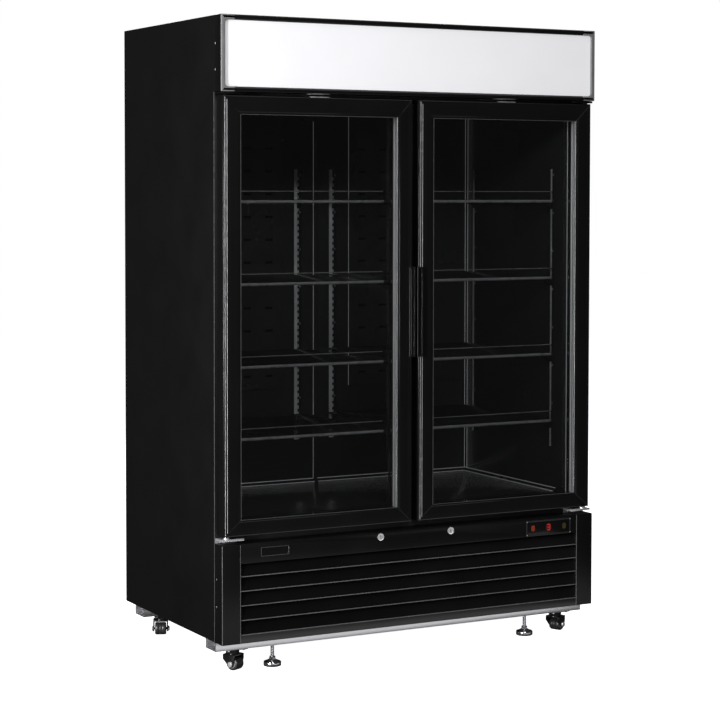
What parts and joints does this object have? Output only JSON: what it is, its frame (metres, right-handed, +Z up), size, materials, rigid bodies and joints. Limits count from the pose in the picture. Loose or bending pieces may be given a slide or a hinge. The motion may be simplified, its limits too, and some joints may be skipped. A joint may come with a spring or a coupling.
{
  "type": "glass door display cooler",
  "caption": "Upright black display cooler with hinged glass doors, wire shelves, a light-box canopy, a louvred base, casters and levelling feet.",
  "frame": {"origin": "middle of the footprint on the floor", "axes": "+Z up, +X to the right of someone facing the doors, the doors face -Y"},
  "size_m": [1.37, 0.788, 2.031],
  "materials": {
    "outer_panel": "satin",
    "liner_panel": "gloss",
    "liner_sheet": "satin",
    "edge_trim": "satin",
    "standard_steel": "satin",
    "clip_steel": "satin",
    "shelf_wire": "gloss",
    "canopy_black": "gloss",
    "sign_white": "satin",
    "lamp": "satin",
    "front_black": "satin",
    "grille_black": "satin",
    "display_face": "gloss",
    "badge": "satin",
    "pan_steel": "satin",
    "frame_steel": "satin",
    "compressor_black": "satin",
    "coil_fins": "satin",
    "control_grey": "matte",
    "rear_steel": "satin",
    "inlet_black": "matte",
    "cooler_cover": "satin",
    "hinge_chrome": "polished",
    "lock_chrome": "polished",
    "caster_plate": "satin",
    "caster_fork": "satin",
    "caster_wheel": "satin",
    "foot_chrome": "polished",
    "door_frame": "gloss",
    "door_glass": "polished",
    "door_spacer": "satin",
    "door_gasket": "matte",
    "door_handle": "gloss",
    "fan_black": "matte"
  },
  "bodies": {
    "cabinet": {"left_side_panel": "outer_panel", "right_side_panel": "outer_panel", "back_panel": "liner_panel", "roof_panel": "outer_panel", "floor_panel": "liner_panel", "header_panel": "liner_panel", "centre_mullion": "liner_panel", "duct_panels": "liner_sheet", "liner_trims": "edge_trim", "shelf_standards": "standard_steel", "shelf_clips": "clip_steel", "shelves_level_one": "shelf_wire", "shelves_level_two": "shelf_wire", "shelves_level_three": "shelf_wire", "shelves_level_four": "shelf_wire", "canopy_shell": "canopy_black", "canopy_bezel": "canopy_black", "canopy_sign": "sign_white", "canopy_lamp": "lamp", "base_columns": "front_black", "fascia_panel": "front_black", "louvre_grille": "grille_black", "display_module": "display_face", "badge_plate": "badge", "base_pan": "pan_steel", "base_channels": "frame_steel", "compressor": "compressor_black", "condenser": "coil_fins", "control_box": "control_grey", "rear_grille": "rear_steel", "power_inlet": "inlet_black", "evaporator_cover": "cooler_cover", "evaporator_coil": "coil_fins", "lower_hinges": "hinge_chrome", "upper_hinges": "hinge_chrome", "caster_plates": "caster_plate"},
    "left_door": {"left_door_frame": "door_frame", "left_door_glass": "door_glass", "left_door_spacer": "door_spacer", "left_door_gasket": "door_gasket", "left_door_handle": "door_handle"},
    "left_lock": {"left_lock": "lock_chrome"},
    "foot_left": {"levelling_foot_left": "foot_chrome"},
    "right_door": {"right_door_frame": "door_frame", "right_door_glass": "door_glass", "right_door_spacer": "door_spacer", "right_door_gasket": "door_gasket", "right_door_handle": "door_handle"},
    "right_lock": {"right_lock": "lock_chrome"},
    "foot_right": {"levelling_foot_right": "foot_chrome"},
    "condenser_fan": {"condenser_fan": "fan_black"},
    "evaporator_fan": {"evaporator_fan": "fan_black"},
    "fork_front_left": {"caster_fork_front_left": "caster_fork"},
    "wheel_front_left": {"caster_wheel_front_left": "caster_wheel"},
    "fork_front_right": {"caster_fork_front_right": "caster_fork"},
    "wheel_front_right": {"caster_wheel_front_right": "caster_wheel"},
    "fork_rear_left": {"caster_fork_rear_left": "caster_fork"},
    "wheel_rear_left": {"caster_wheel_rear_left": "caster_wheel"},
    "fork_rear_right": {"caster_fork_rear_right": "caster_fork"},
    "wheel_rear_right": {"caster_wheel_rear_right": "caster_wheel"}
  },
  "joints": [
    {"name": "left_door_hinge", "type": "hinge", "parent": "cabinet", "child": "left_door", "pos_m": [-0.66, -0.37, 1.1], "axis": [0, 0, -1], "range_deg": [0, 105]},
    {"name": "right_door_hinge", "type": "hinge", "parent": "cabinet", "child": "right_door", "pos_m": [0.66, -0.37, 1.1], "axis": [0, 0, 1], "range_deg": [0, 105]},
    {"name": "left_lock_turn", "type": "hinge", "parent": "cabinet", "child": "left_lock", "pos_m": [-0.13, -0.394, 0.393], "axis": [0, 1, 0], "range_deg": [0, 90]},
    {"name": "right_lock_turn", "type": "hinge", "parent": "cabinet", "child": "right_lock", "pos_m": [0.13, -0.394, 0.393], "axis": [0, -1, 0], "range_deg": [0, 90]},
    {"name": "condenser_fan_spin", "type": "hinge", "parent": "cabinet", "child": "condenser_fan", "pos_m": [-0.38, -0.259, 0.257], "axis": [0, 1, 0], "continuous": true},
    {"name": "evaporator_fan_spin", "type": "hinge", "parent": "cabinet", "child": "evaporator_fan", "pos_m": [0, 0.067, 1.812], "axis": [0, 1, 0], "continuous": true},
    {"name": "swivel_front_left", "type": "hinge", "parent": "cabinet", "child": "fork_front_left", "pos_m": [-0.604, -0.294, 0.049], "axis": [0, 0, 1], "continuous": true},
    {"name": "roll_front_left", "type": "hinge", "parent": "fork_front_left", "child": "wheel_front_left", "pos_m": [-0.59946, -0.30291, 0.021], "axis": [0.891, 0.454, 0], "continuous": true},
    {"name": "swivel_front_right", "type": "hinge", "parent": "cabinet", "child": "fork_front_right", "pos_m": [0.604, -0.294, 0.049], "axis": [0, 0, 1], "continuous": true},
    {"name": "roll_front_right", "type": "hinge", "parent": "fork_front_right", "child": "wheel_front_right", "pos_m": [0.61317, -0.29001, 0.021], "axis": [-0.3987, 0.9171, 0], "continuous": true},
    {"name": "swivel_rear_left", "type": "hinge", "parent": "cabinet", "child": "fork_rear_left", "pos_m": [-0.604, 0.284, 0.049], "axis": [0, 0, 1], "continuous": true},
    {"name": "roll_rear_left", "type": "hinge", "parent": "fork_rear_left", "child": "wheel_rear_left", "pos_m": [-0.60807, 0.27487, 0.021], "axis": [0.9135, -0.4067, 0], "continuous": true},
    {"name": "swivel_rear_right", "type": "hinge", "parent": "cabinet", "child": "fork_rear_right", "pos_m": [0.604, 0.284, 0.049], "axis": [0, 0, 1], "continuous": true},
    {"name": "roll_rear_right", "type": "hinge", "parent": "fork_rear_right", "child": "wheel_rear_right", "pos_m": [0.60742, 0.2746, 0.021], "axis": [0.9397, 0.342, 0], "continuous": true},
    {"name": "foot_left_height", "type": "slide", "parent": "cabinet", "child": "foot_left", "axis": [0, 0, 1], "range_m": [0, 0.02]},
    {"name": "foot_right_height", "type": "slide", "parent": "cabinet", "child": "foot_right", "axis": [0, 0, 1], "range_m": [0, 0.02]}
  ]
}
